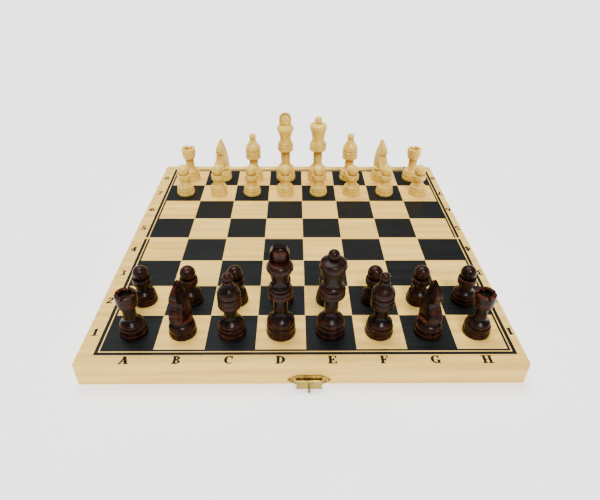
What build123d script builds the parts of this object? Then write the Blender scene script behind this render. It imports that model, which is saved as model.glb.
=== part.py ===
from build123d import *

import math
import os
from dataclasses import dataclass

# Folding wooden chess set: two shallow trays hinged rim to rim, standing open with the
# playing board on top, a brass hasp and catch on the outer rails, and 32 turned chessmen.
# The origin is the middle of the fold at the trays' rim, +X runs along the files from a to h,
# +Y away from the dark player towards the light one, +Z up. Sizes are in millimetres.

# Board and trays
SQUARE = 33.0  # side of one playing square
FILES = 8
MARGIN = 13.0  # wood beyond the playing squares, before the pattern's shift
HALF_PATTERN = SQUARE * FILES / 2
HALF_DEPTH = HALF_PATTERN + MARGIN  # one tray, from the fold to its outer rail's face
BOARD_WIDTH = 2 * HALF_DEPTH  # across the files
HALF_HEIGHT = 18.0  # one tray, from its rim to the playing surface
PANEL_THICKNESS = 3.0
RAIL_THICKNESS = 8.0
SEAM_GAP = 0.3  # between the two inner rails, board open
TOP_ROUNDING = 1.3  # eased edge around the playing surface
CORNER_ROUNDING = 1.6  # upright corners of the board
RIM_ROUNDING = 0.5  # lower outer edges of the rails

# Dark squares and frame lines, let flush into the panels
INLAY_DEPTH = 0.4
INLAY_GAP = 0.05  # keeps neighbouring corners of the inlay apart
PRINT_SHIFT = 2.5  # the pattern stands this far to the right of the board's middle
PRINT_SEAM_MARGIN = 1.2  # bare wood between the pattern and the fold
INNER_LINE_WIDTH = 1.1
LINE_SPACING = 1.2
OUTER_LINE_WIDTH = 1.6

# Butt hinges, let into the rims of the inner rails
HINGE_SPREAD = 170.0  # between the two hinges' middles
HINGE_LENGTH = 20.0
HINGE_LEAF_WIDTH = 7.2  # from the pin's axis to the leaf's long edge
HINGE_LEAF_THICKNESS = 0.9
HINGE_AXIS_DROP = 0.1  # pin axis below the rim plane, so that the closed rims keep apart
KNUCKLE_RADIUS = 1.25
KNUCKLE_LENGTH = 9.4  # the middle knuckle, on the back leaf
KNUCKLE_GAP = 0.2  # between knuckles, along the pin
KNUCKLE_RELIEF = 0.3  # around the knuckles, in the rails and the facing leaf
WEB_LAP = 0.2  # how far a knuckle's web runs into its leaf
HINGE_PIN_RADIUS = 0.55
PIN_CLEARANCE = 0.05  # radial, where a barrel turns on its pin
POCKET_CLEARANCE = 0.05  # around a leaf in its pocket

# Screws of the hinges and nails of the latch
SCREW_HEAD_RADIUS = 1.1
SCREW_SHANK_RADIUS = 0.55
SCREW_SLOT_DEPTH = 0.25
SCREW_LENGTH = 6.0
SCREW_SPREAD = 13.0  # between the two screws of a leaf
SCREW_INSET = 2.4  # from a leaf's long edge
NAIL_HEAD_RADIUS = 1.2
NAIL_HEAD_HEIGHT = 0.5
NAIL_SHANK_RADIUS = 0.5
NAIL_LENGTH = 6.0
HOLE_CLEARANCE = 0.02

# Latch: hasp on the front rail, catch on the back rail
LATCH_SHIFT = 4.4  # to the right of the board's middle
LATCH_LENGTH = 28.0  # plates, point to point
LATCH_SHOULDER = 6.0  # length of each pointed end
LATCH_HEIGHT = 7.8
LATCH_LIFT = 0.6  # plates' lower edge above the rim
PLATE_THICKNESS = 0.8
BEAD_WIDTH = 0.8  # raised border of the plates
BEAD_HEIGHT = 0.3
NAIL_SPREAD = 23.0  # between the two nails of a plate
HASP_AXIS_HEIGHT = 4.8  # above the rim
HASP_WIDTH = 16.6
HASP_BARREL_RADIUS = 0.9
HASP_PIN_RADIUS = 0.4
HASP_STANDOFF = 0.2  # between the barrel and the plate
HASP_LUG_WIDTH = 0.9
HASP_LUG_GAP = 0.15
HASP_LENGTH = 4.7  # axis to the flap's lower edge
HASP_SHEET = 0.6
HASP_RIB_RADIUS = 1.0
HASP_BALL_RADIUS = 1.05
HASP_BALL_REACH = 6.45  # axis to the ball's centre
HASP_STEM_RADIUS = 0.6
HASP_REST_ANGLE = 42.0  # the flap leans out over the table, degrees from hanging
CATCH_LIP_THICKNESS = 0.65
CATCH_LIP_HEIGHT = 0.1  # lip's underside above the rim
CATCH_LIP_REACH = 4.2
CATCH_LIP_WIDTH = 7.0
CATCH_NOTCH_WIDTH = 1.9
CATCH_NOTCH_START = 1.3  # from the rail's face

HINGE_XS = (-HINGE_SPREAD / 2, HINGE_SPREAD / 2)
RAIL_HEIGHT = HALF_HEIGHT - PANEL_THICKNESS
PLAYING_HEIGHT = HALF_HEIGHT
HASP_AXIS_OUT = PLATE_THICKNESS + HASP_STANDOFF + HASP_BARREL_RADIUS


# Chessmen

GROOVE = 0.45  # depth of the turned lines between two members
WAIST_HOLLOW = 0.5  # waists and flared crowns bow in by this much
SHOULDER_SWELL = 0.7  # rounded shoulders bow out by this much
RIM_SWELL = 0.25  # rims and tower walls bow out by this much


@dataclass(frozen=True)
class Stem:
    """What every chessman stands on: a foot ring, a cushion and a bell that narrows to the neck."""

    foot_radius: float
    foot_height: float
    cushion_radius: float
    cushion_height: float
    bell_radius: float
    bell_height: float
    neck_radius: float
    neck_height: float


@dataclass(frozen=True)
class Collar:
    """Turned rings, one on the other, under a chessman's head."""

    radius: float
    ring_height: float
    rings: int


KING_STEM = Stem(9.9, 3.8, 9.6, 4.6, 8.8, 14.0, 4.8, 11.2)
QUEEN_STEM = Stem(9.9, 3.8, 9.6, 4.6, 8.8, 13.4, 4.6, 12.4)
BISHOP_STEM = Stem(9.5, 3.6, 9.1, 4.0, 8.2, 9.4, 4.5, 6.6)
KNIGHT_STEM = Stem(9.3, 3.6, 8.9, 4.2, 8.2, 4.6, 6.7, 0.6)
ROOK_STEM = Stem(9.2, 3.6, 8.8, 4.0, 7.8, 8.4, 4.4, 7.6)
PAWN_STEM = Stem(8.6, 3.2, 8.1, 3.2, 7.3, 7.2, 5.0, 3.0)

KING_COLLAR = Collar(8.0, 2.4, 2)
QUEEN_COLLAR = Collar(8.6, 2.5, 2)
BISHOP_COLLAR = Collar(7.7, 4.0, 2)
ROOK_COLLAR = Collar(6.3, 3.6, 1)
PAWN_COLLAR = Collar(6.3, 4.9, 1)

KING_WAIST_RADIUS = 5.4
KING_WAIST_RISE = 6.4  # collar to waist
KING_CROWN_RADIUS = 8.2
KING_CROWN_RISE = 9.2  # waist to the crown's widest
KING_SHOULDER_RADIUS = 6.4
KING_SHOULDER_RISE = 4.2
KING_TAB_WIDTH = 12.2
KING_TAB_TOP_WIDTH = 9.6
KING_TAB_HEIGHT = 12.2
KING_TAB_THICKNESS = 5.2

QUEEN_WAIST_RADIUS = 6.0
QUEEN_WAIST_RISE = 4.6
QUEEN_CROWN_RADIUS = 8.3
QUEEN_CROWN_RISE = 11.6
QUEEN_RIM_RADIUS = 7.7
QUEEN_RIM_RISE = 3.4
QUEEN_BALL_RADIUS = 3.8
QUEEN_BALL_RISE = 4.6  # rim to the ball's centre

MITRE_FOOT_RADIUS = 6.8
MITRE_RADIUS = 7.6
MITRE_BULGE_RISE = 2.2
MITRE_NECK_RADIUS = 2.8
MITRE_HEIGHT = 12.4
BISHOP_BALL_RADIUS = 3.4
BISHOP_BALL_RISE = 2.6

TOWER_RADIUS = 6.5
TOWER_HEIGHT = 6.8
TOWER_RECESS_RADIUS = 4.3
TOWER_RECESS_DEPTH = 3.0
CRENEL_WIDTH = 1.9
CRENEL_DEPTH = 1.8

PAWN_BALL_RADIUS = 5.2
PAWN_BALL_RISE = 4.2

KNIGHT_BLANK_RADIUS = 7.7
KNIGHT_EARS_HEIGHT = 28.4  # above the turned stem
KNIGHT_FOOT_WIDTH = 13.8
KNIGHT_TOP_WIDTH = 4.4
KNIGHT_TURN = 22.0  # degrees that each knight looks aside
KNIGHT_RIM_HEIGHT = 1.2  # turned ring under the sawn head
EAR_NOTCH_WIDTH = 1.1
EAR_NOTCH_DEPTH = 2.5
MOUTH_DEPTH = 1.8
MOUTH_WIDTH = 0.7
MOUTH_SLOPE = 12.0  # degrees
MANE_GROOVES = 5
MANE_GROOVE_DEPTH = 0.8
MANE_GROOVE_WIDTH = 0.8
MANE_SLOPE = 35.0  # degrees


class Lathe:
    """Collects half an outline, radius against height, and turns it about the upright axis."""

    def __init__(self, radius: float):
        self.radius = 0.0
        self.height = 0.0
        self.edges = []
        self.line(radius, 0.0)

    def line(self, radius: float, rise: float):
        """A straight run to the radius, this much further up."""
        if math.isclose(radius, self.radius) and rise == 0:
            return
        end = (radius, 0, self.height + rise)
        self.edges.append(Line((self.radius, 0, self.height), end))
        self.radius, self.height = radius, self.height + rise

    def bow(self, radius: float, rise: float, swell: float):
        """An arc to the radius, this much further up, that swells out by swell, or in if negative."""
        run = math.hypot(radius - self.radius, rise)
        middle = (
            (self.radius + radius) / 2 + swell * rise / run,
            0,
            self.height + rise / 2 - swell * (radius - self.radius) / run,
        )
        end = (radius, 0, self.height + rise)
        self.edges.append(ThreePointArc((self.radius, 0, self.height), middle, end))
        self.radius, self.height = radius, self.height + rise

    def ring(self, radius: float, height: float):
        """One rounded ring that stands out to the radius, with a groove over it."""
        self.line(radius - GROOVE, 0)
        self.bow(radius - GROOVE, height, GROOVE)

    def ball(self, radius: float, rise: float):
        """A ball that ends the outline, its centre this much further up."""
        centre = self.height + rise
        foot = -math.asin(rise / radius)
        self.line(radius * math.cos(foot), 0)
        middle = (foot + math.pi / 2) / 2
        swell = (math.cos(middle) * radius, 0, centre + math.sin(middle) * radius)
        top = (0, 0, centre + radius)
        self.edges.append(ThreePointArc((self.radius, 0, self.height), swell, top))
        self.radius, self.height = 0.0, centre + radius

    def close(self) -> Solid:
        """The turned solid."""
        if self.radius > 0:
            self.line(0.0, 0.0)
        self.edges.append(Line((0, 0, self.height), (0, 0, 0)))
        return revolve(make_face(Wire(self.edges)), Axis.Z)


def lathe_stem(stem: Stem) -> Lathe:
    """The outline of a chessman's foot, cushion, bell and neck."""
    path = Lathe(stem.foot_radius - GROOVE)
    path.bow(stem.foot_radius - GROOVE, stem.foot_height, GROOVE)
    path.ring(stem.cushion_radius, stem.cushion_height)
    path.line(stem.bell_radius, 0)
    shoulder = (stem.bell_radius + stem.neck_radius) / 2
    path.bow(shoulder, stem.bell_height * 0.45, stem.bell_height * 0.05)
    path.bow(stem.neck_radius, stem.bell_height * 0.55, -stem.bell_height * 0.05)
    path.line(stem.neck_radius, stem.neck_height)
    return path


def lathe_collar(path: Lathe, collar: Collar):
    """Adds the collar's rings to the outline."""
    for _ in range(collar.rings):
        path.ring(collar.radius, collar.ring_height)


def king() -> Part:
    """King: flared crown with a flat, round-topped tab."""
    path = lathe_stem(KING_STEM)
    lathe_collar(path, KING_COLLAR)
    path.line(path.radius - GROOVE, 0)
    path.bow(KING_WAIST_RADIUS, KING_WAIST_RISE, -WAIST_HOLLOW)
    path.bow(KING_CROWN_RADIUS, KING_CROWN_RISE, -WAIST_HOLLOW)
    path.bow(KING_SHOULDER_RADIUS, KING_SHOULDER_RISE, SHOULDER_SWELL)
    crown_top = path.height
    foot = crown_top - KING_SHOULDER_RISE / 2
    spring = crown_top + KING_TAB_HEIGHT - KING_TAB_TOP_WIDTH / 2
    low, high = KING_TAB_WIDTH / 2, KING_TAB_TOP_WIDTH / 2
    top = crown_top + KING_TAB_HEIGHT
    outline = Wire(
        [
            Line((-low, 0, foot), (low, 0, foot)),
            Line((low, 0, foot), (high, 0, spring)),
            ThreePointArc((high, 0, spring), (0, 0, top), (-high, 0, spring)),
            Line((-high, 0, spring), (-low, 0, foot)),
        ]
    )
    tab = extrude(make_face(outline), KING_TAB_THICKNESS / 2, dir=(0, 1, 0), both=True)
    return path.close() + tab


def queen() -> Part:
    """Queen: tall flared crown under a ball."""
    path = lathe_stem(QUEEN_STEM)
    lathe_collar(path, QUEEN_COLLAR)
    path.line(path.radius - GROOVE, 0)
    path.bow(QUEEN_WAIST_RADIUS, QUEEN_WAIST_RISE, -WAIST_HOLLOW)
    path.bow(QUEEN_CROWN_RADIUS, QUEEN_CROWN_RISE, -WAIST_HOLLOW)
    path.bow(QUEEN_RIM_RADIUS, QUEEN_RIM_RISE, RIM_SWELL)
    path.line(QUEEN_BALL_RADIUS * 0.8, QUEEN_BALL_RISE * 0.4)
    path.ball(QUEEN_BALL_RADIUS, QUEEN_BALL_RISE * 0.6)
    return path.close()


def bishop() -> Part:
    """Bishop: pointed mitre with a small ball."""
    path = lathe_stem(BISHOP_STEM)
    lathe_collar(path, BISHOP_COLLAR)
    path.line(MITRE_FOOT_RADIUS, 0)
    path.bow(MITRE_RADIUS, MITRE_BULGE_RISE, RIM_SWELL)
    shoulder = (MITRE_RADIUS + MITRE_NECK_RADIUS) / 2
    path.bow(shoulder, MITRE_HEIGHT * 0.4, SHOULDER_SWELL)
    path.bow(MITRE_NECK_RADIUS, MITRE_HEIGHT * 0.4, -WAIST_HOLLOW)
    path.ball(BISHOP_BALL_RADIUS, BISHOP_BALL_RISE)
    return path.close()


def rook() -> Part:
    """Rook: hollow tower top with four crenels."""
    path = lathe_stem(ROOK_STEM)
    lathe_collar(path, ROOK_COLLAR)
    path.line(TOWER_RADIUS, 0)
    path.bow(TOWER_RADIUS, TOWER_HEIGHT, RIM_SWELL)
    top = path.height
    tower = path.close()
    recess = Pos(0, 0, top) * Cylinder(TOWER_RECESS_RADIUS, 2 * TOWER_RECESS_DEPTH)
    slot = Pos(0, 0, top) * Box(4 * TOWER_RADIUS, CRENEL_WIDTH, 2 * CRENEL_DEPTH)
    return tower - recess - slot - Rot(Z=90) * slot


def pawn() -> Part:
    """Pawn: ball on a thick collar."""
    path = lathe_stem(PAWN_STEM)
    lathe_collar(path, PAWN_COLLAR)
    path.ball(PAWN_BALL_RADIUS, PAWN_BALL_RISE)
    return path.close()


def knight_head() -> Part:
    """Horse's head, sawn flat-sided from a turned cone: it looks along -Y, its foot at height 0."""
    ears = KNIGHT_EARS_HEIGHT
    radius = KNIGHT_BLANK_RADIUS

    def at(out: float, up: float) -> tuple[float, float, float]:
        """A point of the side view, in shares of the blank's radius and of the ears' height."""
        return (0, radius * out, ears * up)

    profile = Wire(
        [
            Line(at(-1, 0), at(1, 0)),
            ThreePointArc(at(1, 0), at(0.86, 0.45), at(0.31, 1)),
            Line(at(0.31, 1), at(0.05, 0.97)),
            Line(at(0.05, 0.97), at(-0.16, 0.86)),
            ThreePointArc(at(-0.16, 0.86), at(-0.47, 0.76), at(-0.83, 0.63)),
            ThreePointArc(at(-0.83, 0.63), at(-0.94, 0.56), at(-0.83, 0.48)),
            ThreePointArc(at(-0.83, 0.48), at(-0.55, 0.46), at(-0.31, 0.44)),
            ThreePointArc(at(-0.31, 0.44), at(-0.39, 0.30), at(-0.75, 0.16)),
            ThreePointArc(at(-0.75, 0.16), at(-0.94, 0.09), at(-1, 0)),
        ]
    )
    side = extrude(make_face(profile), radius * 1.5, dir=(1, 0, 0), both=True)
    foot, top = KNIGHT_FOOT_WIDTH / 2, KNIGHT_TOP_WIDTH / 2
    low, high = -ears * 0.01, ears * 1.01
    front = Polyline(
        (-foot, 0, low), (foot, 0, low), (foot * 0.64, 0, ears * 0.4), (top, 0, high),
        (-top, 0, high), (-foot * 0.64, 0, ears * 0.4), (-foot, 0, low)
    )
    wedge = extrude(make_face(front), radius * 1.5, dir=(0, 1, 0), both=True)
    blank = Pos(0, 0, ears / 2) * Cone(radius * 1.03, radius * 0.92, high - low)
    head = side & wedge & blank
    notch = Pos(0, radius * 0.18, ears) * Box(EAR_NOTCH_WIDTH, radius, 2 * EAR_NOTCH_DEPTH)
    cut = Box(radius * 2, 2 * MOUTH_DEPTH, MOUTH_WIDTH)
    mouth = Pos(0, -radius, ears * 0.525) * Rot(X=-MOUTH_SLOPE) * cut
    head = head - notch - mouth
    for index in range(MANE_GROOVES):
        share = 0.24 + 0.6 * index / (MANE_GROOVES - 1)
        back = radius * (1 - 0.72 * share**1.9)
        cut = Box(radius * 2, MANE_GROOVE_DEPTH * 2, MANE_GROOVE_WIDTH)
        head = head - Pos(0, back, ears * share) * Rot(X=MANE_SLOPE) * cut
    return head


def knight(turn: float) -> Part:
    """Knight: a sawn horse's head on a turned stem, turned about its axis by so many degrees."""
    path = lathe_stem(KNIGHT_STEM)
    path.line(KNIGHT_BLANK_RADIUS, 0)
    path.bow(KNIGHT_BLANK_RADIUS, KNIGHT_RIM_HEIGHT, RIM_SWELL)
    top = path.height
    return Rot(Z=turn) * (path.close() + Pos(0, 0, top) * knight_head())


# Trays


def tray_panel(side: int) -> Part:
    """Playing panel of one half, its edges eased. side is -1 for the front half, 1 for the back."""
    depth = HALF_DEPTH - SEAM_GAP / 2
    middle = side * (SEAM_GAP / 2 + depth / 2)
    blank = Pos(0, middle, HALF_HEIGHT - PANEL_THICKNESS / 2) * Box(BOARD_WIDTH, depth, PANEL_THICKNESS)
    outer = [e for e in blank.edges().filter_by(Axis.Z) if abs(e.center().Y) > depth / 2]
    blank = fillet(outer, CORNER_ROUNDING)
    top = blank.faces().sort_by(Axis.Z)[-1]
    eased = [e for e in top.edges() if abs(e.center().Y) > SEAM_GAP]
    return fillet(eased, TOP_ROUNDING)


def square_centre(file: int, rank: int) -> tuple[float, float]:
    """Middle of a square in the frame; file and rank count from 0."""
    return (
        PRINT_SHIFT + (file - (FILES - 1) / 2) * SQUARE,
        (rank - (FILES - 1) / 2) * SQUARE,
    )


def inlay(side: int) -> list:
    """Dark squares and the two frame lines of one half, as thin flush pieces."""
    middle = HALF_HEIGHT - INLAY_DEPTH / 2
    ranks = range(FILES // 2) if side < 0 else range(FILES // 2, FILES)
    pieces = []
    for rank in ranks:
        seam_rank = rank in (FILES // 2 - 1, FILES // 2)
        short = PRINT_SEAM_MARGIN if seam_rank else INLAY_GAP
        for file in range(FILES):
            if (file + rank) % 2:
                continue
            x, y = square_centre(file, rank)
            depth = SQUARE - INLAY_GAP - short
            shift = side * (short - INLAY_GAP) / 2
            pieces.append(Pos(x, y + shift, middle) * Box(SQUARE - 2 * INLAY_GAP, depth, INLAY_DEPTH))
    start = HALF_PATTERN
    for width in (INNER_LINE_WIDTH, OUTER_LINE_WIDTH):
        pieces.append(frame_line(side, start, start + width, middle))
        start = start + width + LINE_SPACING
    return pieces


def frame_line(side: int, inside: float, outside: float, middle: float) -> Part:
    """One printed line around three sides of a half's pattern, open at the fold."""
    depth = outside - PRINT_SEAM_MARGIN
    whole = Box(2 * outside, depth, INLAY_DEPTH)
    bare = Pos(0, -side * (outside - inside), 0) * Box(2 * inside, depth, 2 * INLAY_DEPTH)
    return Pos(PRINT_SHIFT, side * (PRINT_SEAM_MARGIN + depth / 2), middle) * (whole - bare)


def rail(width: float, depth: float, x: float, y: float) -> Part:
    """One straight rail of a tray, standing on the rim plane."""
    return Pos(x, y, RAIL_HEIGHT / 2) * Box(width, depth, RAIL_HEIGHT)


def outer_rail(side: int) -> Part:
    """Rail that carries the latch, its upright corners rounded and its lower edge eased."""
    blank = rail(BOARD_WIDTH, RAIL_THICKNESS, 0, side * (HALF_DEPTH - RAIL_THICKNESS / 2))
    corners = [e for e in blank.edges().filter_by(Axis.Z) if abs(e.center().Y) > HALF_DEPTH - 0.1]
    blank = fillet(corners, CORNER_ROUNDING)
    low = blank.faces().sort_by(Axis.Z)[0]
    inner = HALF_DEPTH - RAIL_THICKNESS
    eased = [e for e in low.edges() if abs(e.center().Y) > inner + RAIL_THICKNESS / 2 + 0.1]
    blank = fillet(eased, RIM_ROUNDING)
    for x in nail_places():
        blank = blank - nail_hole(x, side)
    return blank


def side_rail(side: int, end: int) -> Part:
    """Rail across one end of a tray, between its outer and inner rails."""
    length = HALF_DEPTH - SEAM_GAP / 2 - 2 * RAIL_THICKNESS
    x = end * (BOARD_WIDTH / 2 - RAIL_THICKNESS / 2)
    blank = rail(RAIL_THICKNESS, length, x, side * (SEAM_GAP / 2 + RAIL_THICKNESS + length / 2))
    low = blank.faces().sort_by(Axis.Z)[0]
    outer = low.edges().filter_by(Axis.Y).sort_by(Axis.X)[0 if end < 0 else -1]
    return fillet([outer], RIM_ROUNDING)


def inner_rail(side: int) -> Part:
    """Rail at the fold, with a pocket and a knuckle relief for each hinge."""
    blank = rail(BOARD_WIDTH, RAIL_THICKNESS, 0, side * (SEAM_GAP / 2 + RAIL_THICKNESS / 2))
    relief = KNUCKLE_RADIUS + KNUCKLE_RELIEF
    length = HINGE_LENGTH + 2 * POCKET_CLEARANCE
    for x in HINGE_XS:
        pocket_width = HINGE_LEAF_WIDTH + POCKET_CLEARANCE
        pocket = Pos(x, side * pocket_width / 2, 0) * Box(length, pocket_width, 2 * HINGE_LEAF_THICKNESS)
        groove = Pos(x, 0, -HINGE_AXIS_DROP) * Rot(Y=90) * Cylinder(relief, length)
        blank = blank - pocket - groove
        for place in screw_places(x, side):
            blank = blank - Pos(*place) * screw_body(HOLE_CLEARANCE)
    return blank


# Hinges


def screw_places(x: float, side: int) -> list:
    """Heads of the two screws of one leaf, in the rim plane."""
    y = side * (HINGE_LEAF_WIDTH - SCREW_INSET)
    return [(x - SCREW_SPREAD / 2, y, 0), (x + SCREW_SPREAD / 2, y, 0)]


def screw_body(grow: float) -> Part:
    """Countersunk screw pointing up from height 0; grow makes it the hole that it sits in."""
    head_height = HINGE_LEAF_THICKNESS * 0.8
    shank = SCREW_SHANK_RADIUS + grow
    head = Pos(0, 0, head_height / 2) * Cone(SCREW_HEAD_RADIUS + grow, shank, head_height)
    length = SCREW_LENGTH + grow
    return head + Pos(0, 0, length / 2) * Cylinder(shank, length)


def screws(side: int) -> list:
    """The four hinge screws of one half, each with its slot."""
    slot = Box(2 * SCREW_HEAD_RADIUS, SCREW_HEAD_RADIUS * 0.25, 2 * SCREW_SLOT_DEPTH)
    turned = screw_body(0) - slot
    return [Pos(*place) * turned for x in HINGE_XS for place in screw_places(x, side)]


def knuckle(start: float, end: float, side: int) -> Part:
    """One rolled knuckle along the pin, with the web that joins it to its leaf."""
    middle, length = (start + end) / 2, end - start
    barrel = Pos(middle, 0, -HINGE_AXIS_DROP) * Rot(Y=90) * Cylinder(KNUCKLE_RADIUS, length)
    reach = KNUCKLE_RADIUS + KNUCKLE_RELIEF + WEB_LAP
    web = Pos(middle, side * reach / 2, HINGE_LEAF_THICKNESS / 2) * Box(length, reach, HINGE_LEAF_THICKNESS)
    return barrel + web


def hinge_leaf(x: float, side: int) -> Part:
    """Leaf of a butt hinge: the front one has the two outer knuckles, the back one the middle."""
    inner = KNUCKLE_RADIUS + KNUCKLE_RELIEF
    width = HINGE_LEAF_WIDTH - inner
    leaf = Pos(0, side * (inner + width / 2), HINGE_LEAF_THICKNESS / 2) * Box(
        HINGE_LENGTH, width, HINGE_LEAF_THICKNESS
    )
    half = KNUCKLE_LENGTH / 2
    if side > 0:
        leaf = leaf + knuckle(-half, half, side)
        bore = HINGE_PIN_RADIUS + PIN_CLEARANCE
    else:
        start = half + KNUCKLE_GAP
        leaf = leaf + knuckle(start, HINGE_LENGTH / 2, side) + knuckle(-HINGE_LENGTH / 2, -start, side)
        bore = HINGE_PIN_RADIUS + HOLE_CLEARANCE
    leaf = leaf - Pos(0, 0, -HINGE_AXIS_DROP) * Rot(Y=90) * Cylinder(bore, 2 * HINGE_LENGTH)
    leaf = Pos(x, 0, 0) * leaf
    for place in screw_places(x, side):
        leaf = leaf - Pos(*place) * screw_body(HOLE_CLEARANCE)
    return leaf


def hinge_pin(x: float) -> Part:
    """Straight pin, flush with the outer knuckles."""
    return Pos(x, 0, -HINGE_AXIS_DROP) * Rot(Y=90) * Cylinder(HINGE_PIN_RADIUS, HINGE_LENGTH)


# Latch


def nail_places() -> tuple[float, float]:
    """Where the two nails of a latch plate stand along the rail."""
    return (LATCH_SHIFT - NAIL_SPREAD / 2, LATCH_SHIFT + NAIL_SPREAD / 2)


def plate_middle() -> float:
    """Height of the plates' points above the rim."""
    return LATCH_LIFT + LATCH_HEIGHT / 2


def outward(side: int) -> Rot:
    """Turns a form that stands along +Z so that it points out of that half's outer rail."""
    return Rot(X=90) if side < 0 else Rot(X=-90)


def nail_hole(x: float, side: int) -> Part:
    """Hole of one latch nail, from the rail's face inwards."""
    shank = Pos(0, 0, -NAIL_LENGTH / 2) * Cylinder(NAIL_SHANK_RADIUS + HOLE_CLEARANCE, NAIL_LENGTH)
    return Pos(x, side * HALF_DEPTH, plate_middle()) * outward(side) * shank


def latch_nails(side: int) -> list:
    """Round-headed nails through one latch plate."""
    length = NAIL_LENGTH + PLATE_THICKNESS - HOLE_CLEARANCE
    shank = Pos(0, 0, PLATE_THICKNESS - length / 2) * Cylinder(NAIL_SHANK_RADIUS, length)
    head = Pos(0, 0, PLATE_THICKNESS + NAIL_HEAD_HEIGHT / 2) * Cone(
        NAIL_HEAD_RADIUS, NAIL_HEAD_RADIUS * 0.6, NAIL_HEAD_HEIGHT
    )
    nail = shank + head
    place = outward(side)
    return [Pos(x, side * HALF_DEPTH, plate_middle()) * place * nail for x in nail_places()]


def plate_outline(inset: float) -> Face:
    """Six-cornered plate with pointed ends, drawn flat about its middle."""
    half, high = LATCH_LENGTH / 2 - inset * 1.2, LATCH_HEIGHT / 2 - inset
    shoulder = LATCH_LENGTH / 2 - LATCH_SHOULDER - inset * 0.3
    corners = [(half, 0), (shoulder, high), (-shoulder, high), (-half, 0), (-shoulder, -high), (shoulder, -high)]
    return make_face(Polyline(*corners, close=True))


def latch_plate(side: int) -> Part:
    """Base plate of the hasp or the catch with its raised border and nail holes, in its place."""
    sheet = extrude(plate_outline(0), PLATE_THICKNESS)
    border = extrude(plate_outline(0) - plate_outline(BEAD_WIDTH), PLATE_THICKNESS + BEAD_HEIGHT)
    plate = sheet + border
    for x in (-NAIL_SPREAD / 2, NAIL_SPREAD / 2):
        plate = plate - Pos(x, 0, 0) * Cylinder(NAIL_SHANK_RADIUS + HOLE_CLEARANCE, 4 * PLATE_THICKNESS)
        seat = Cylinder(NAIL_HEAD_RADIUS + HOLE_CLEARANCE, 2 * PLATE_THICKNESS)
        plate = plate - Pos(x, 0, PLATE_THICKNESS * 2) * seat
    return Pos(LATCH_SHIFT, side * HALF_DEPTH, plate_middle()) * outward(side) * plate


def hasp_axis() -> tuple[float, float]:
    """The hasp pin's place across the rail and its height."""
    return (-HALF_DEPTH - HASP_AXIS_OUT, HASP_AXIS_HEIGHT)


def hasp_plate() -> Part:
    """Front latch plate with the two lugs that hold the hasp's pin."""
    y, z = hasp_axis()
    plate = latch_plate(-1)
    across = HASP_WIDTH / 2 + HASP_LUG_GAP + HASP_LUG_WIDTH / 2
    size = 2 * HASP_BARREL_RADIUS
    reach = HASP_AXIS_OUT - HASP_STANDOFF
    bead_cut = Box(HASP_WIDTH + 2 * HASP_LUG_GAP, 2 * BEAD_HEIGHT, 2 * LATCH_HEIGHT)
    plate = plate - Pos(LATCH_SHIFT, -HALF_DEPTH - PLATE_THICKNESS - BEAD_HEIGHT, 0) * bead_cut
    for end in (-1, 1):
        lug = Pos(0, reach / 2, 0) * Box(HASP_LUG_WIDTH, reach, size)
        lug = lug + Rot(Y=90) * Cylinder(HASP_BARREL_RADIUS, HASP_LUG_WIDTH)
        lug = lug - Rot(Y=90) * Cylinder(HASP_PIN_RADIUS + HOLE_CLEARANCE, 2 * HASP_LUG_WIDTH)
        plate = plate + Pos(LATCH_SHIFT + end * across, y, z) * lug
    return plate


def hasp_pin() -> Part:
    """Pin through the hasp's barrel and both lugs."""
    y, z = hasp_axis()
    length = HASP_WIDTH + 2 * (HASP_LUG_GAP + HASP_LUG_WIDTH)
    return Pos(LATCH_SHIFT, y, z) * Rot(Y=90) * Cylinder(HASP_PIN_RADIUS, length)


def hasp_flap() -> Part:
    """Swinging hasp: barrel, sheet, rib, stem and ball, leaning out at its rest angle."""
    outer = HASP_BARREL_RADIUS
    sheet_y = -(outer - HASP_SHEET / 2)
    barrel = Rot(Y=90) * Cylinder(outer, HASP_WIDTH)
    sheet = Pos(0, sheet_y, -HASP_LENGTH / 2) * Box(HASP_WIDTH, HASP_SHEET, HASP_LENGTH)
    rib_length = HASP_LENGTH - outer
    rib = Pos(0, sheet_y, -outer - rib_length / 2) * Cylinder(HASP_RIB_RADIUS, rib_length)
    behind = Pos(0, sheet_y + HASP_SHEET / 2 + outer, -HASP_LENGTH / 2 - outer) * Box(
        4 * HASP_RIB_RADIUS, 2 * outer, HASP_LENGTH
    )
    stem_length = HASP_BALL_REACH - HASP_LENGTH + HASP_STEM_RADIUS
    stem = Pos(0, sheet_y, -HASP_BALL_REACH + stem_length / 2) * Cylinder(HASP_STEM_RADIUS, stem_length)
    ball = Pos(0, sheet_y, -HASP_BALL_REACH) * Sphere(HASP_BALL_RADIUS)
    flap = barrel + sheet + (rib - behind) + stem + ball
    flap = flap - Rot(Y=90) * Cylinder(HASP_PIN_RADIUS + PIN_CLEARANCE, 2 * HASP_WIDTH)
    y, z = hasp_axis()
    return Pos(LATCH_SHIFT, y, z) * Rot(X=-HASP_REST_ANGLE) * flap


def catch_plate() -> Part:
    """Back latch plate with a notched lip that holds the hasp's ball when the box is shut."""
    plate = latch_plate(1)
    reach = CATCH_LIP_REACH
    lip = Pos(0, reach / 2, 0) * Box(CATCH_LIP_WIDTH, reach, CATCH_LIP_THICKNESS)
    notch = Pos(0, CATCH_NOTCH_START + reach / 2, 0) * Box(CATCH_NOTCH_WIDTH, reach, 1)
    root = Pos(0, PLATE_THICKNESS / 2, LATCH_LIFT) * Box(CATCH_LIP_WIDTH, PLATE_THICKNESS, 2 * LATCH_LIFT)
    foot = Pos(LATCH_SHIFT, HALF_DEPTH, CATCH_LIP_HEIGHT + CATCH_LIP_THICKNESS / 2)
    return plate + foot * (lip - notch) + foot * root


# Writing the parts


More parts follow.
